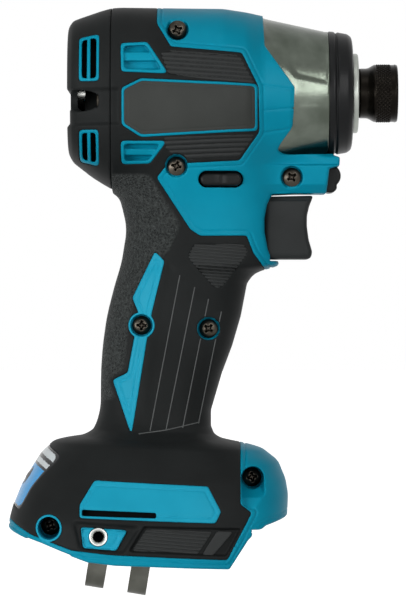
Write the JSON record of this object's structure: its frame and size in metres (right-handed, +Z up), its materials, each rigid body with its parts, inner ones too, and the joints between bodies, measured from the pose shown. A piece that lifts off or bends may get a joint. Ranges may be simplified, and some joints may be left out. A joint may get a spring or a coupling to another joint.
{
  "type": "cordless impact driver",
  "caption": "Pistol-grip cordless impact driver without its battery: hex bit socket with a pull sleeve, trigger, direction lever, lamp, mode panel and belt hook.",
  "frame": {"origin": "centre of the bit socket's mouth, on the drive axis", "axes": "+X forward along the drive axis, out of the socket; +Z up, with the grip hanging down; +Y to the user's left"},
  "size_m": [0.1308, 0.0901, 0.2021],
  "materials": {
    "housing": "moulded, fine texture",
    "skin": "soft matt overmould",
    "black_plastic": "moulded",
    "plate": "printed plate left bare",
    "panel": "membrane",
    "cast": "die cast",
    "dark_steel": "black oxide",
    "steel": "machined",
    "screw": "dark zinc",
    "bronze": "sintered",
    "copper": "enamelled wire",
    "lamination": "stacked sheet",
    "magnet": "ground",
    "white_plastic": "moulded",
    "board": "coated board",
    "lead": "insulated wire",
    "seal": "moulded",
    "lens": "tinted"
  },
  "bodies": {
    "frame": {"housing_right": "housing", "housing_left": "housing", "skin_right": "skin", "skin_left": "skin", "rear_cover": "housing", "rear_skin": "skin", "rear_screws": "screw", "housing_screws": "screw", "rating_plate": "plate", "hammer_case": "cast", "nose_bumper": "skin", "case_o_ring": "seal", "anvil_bush": "bronze", "anvil_washer": "steel", "ring_gear": "steel", "bearing_box": "black_plastic", "spindle_bearing": "steel", "front_bearing": "steel", "rear_bearing": "steel", "stator_core": "lamination", "stator_insulators": "white_plastic", "stator_windings": "copper", "sensor_board": "board", "switch_body": "black_plastic", "lamp_lens": "lens", "lamp_board": "board", "controller": "black_plastic", "terminal_block": "black_plastic", "terminal_blades": "bronze", "mode_panel": "panel", "mode_board": "board", "belt_hook": "steel", "hook_screw": "steel", "hook_inserts": "steel", "motor_leads": "lead", "battery_leads": "lead"},
    "rotor": {"rotor_shaft": "steel", "rotor_core": "lamination", "rotor_magnets": "magnet", "fan": "black_plastic"},
    "spindle": {"spindle": "steel", "planet_pins": "steel", "cam_balls": "steel", "hammer_spring": "steel"},
    "planet_1": {"planet_gear_1": "steel"},
    "planet_2": {"planet_gear_2": "steel"},
    "hammer": {"hammer": "steel", "spring_washer": "steel", "thrust_balls": "steel"},
    "anvil": {"anvil": "steel", "sleeve_balls": "steel", "sleeve_washer": "steel", "snap_ring": "dark_steel", "sleeve_spring": "steel"},
    "sleeve": {"bit_sleeve": "dark_steel"},
    "trigger": {"trigger": "black_plastic"},
    "lever": {"direction_lever": "black_plastic"},
    "power_button": {"power_button": "black_plastic"},
    "light_button": {"light_button": "black_plastic"}
  },
  "joints": [
    {"name": "spindle_spin", "type": "hinge", "parent": "frame", "child": "spindle", "pos_m": [-0.06, 0, 0], "axis": [1, 0, 0], "continuous": true},
    {"name": "rotor_spin", "type": "hinge", "parent": "frame", "child": "rotor", "pos_m": [-0.089, 0, 0], "axis": [1, 0, 0], "continuous": true},
    {"name": "planet_1_spin", "type": "hinge", "parent": "spindle", "child": "planet_1", "pos_m": [-0.0594, 0.0112, 0], "axis": [1, 0, 0], "continuous": true},
    {"name": "planet_2_spin", "type": "hinge", "parent": "spindle", "child": "planet_2", "pos_m": [-0.0594, -0.0112, 0], "axis": [1, 0, 0], "continuous": true},
    {"name": "anvil_spin", "type": "hinge", "parent": "frame", "child": "anvil", "pos_m": [-0.02, 0, 0], "axis": [1, 0, 0], "continuous": true},
    {"name": "hammer_slide", "type": "slide", "parent": "spindle", "child": "hammer", "axis": [-1, 0, 0], "range_m": [0, 0.0062], "stiffness_N_per_m": 9000, "springref_m": -0.004, "deforming": ["hammer_spring"]},
    {"name": "sleeve_slide", "type": "slide", "parent": "anvil", "child": "sleeve", "axis": [1, 0, 0], "range_m": [0, 0.0035], "stiffness_N_per_m": 900, "springref_m": -0.003, "deforming": ["sleeve_spring"]},
    {"name": "trigger_pull", "type": "slide", "parent": "frame", "child": "trigger", "axis": [-1, 0, 0], "range_m": [0, 0.0065], "stiffness_N_per_m": 600, "springref_m": -0.003},
    {"name": "lever_shift", "type": "slide", "parent": "frame", "child": "lever", "axis": [0, 1, 0], "range_m": [-0.0025, 0.0025]},
    {"name": "power_press", "type": "slide", "parent": "frame", "child": "power_button", "axis": [0.8271, 0, -0.5621], "range_m": [0, 0.0006], "stiffness_N_per_m": 600, "springref_m": -0.0005},
    {"name": "light_press", "type": "slide", "parent": "frame", "child": "light_button", "axis": [0.8271, 0, -0.5621], "range_m": [0, 0.0006], "stiffness_N_per_m": 600, "springref_m": -0.0005}
  ],
  "couplings": [
    {"joint": "rotor_spin", "follows": "spindle_spin", "ratio": 6.2222},
    {"joint": "planet_1_spin", "follows": "spindle_spin", "ratio": -2.4737},
    {"joint": "planet_2_spin", "follows": "spindle_spin", "ratio": -2.4737},
    {"joint": "anvil_spin", "follows": "spindle_spin", "ratio": 1}
  ]
}
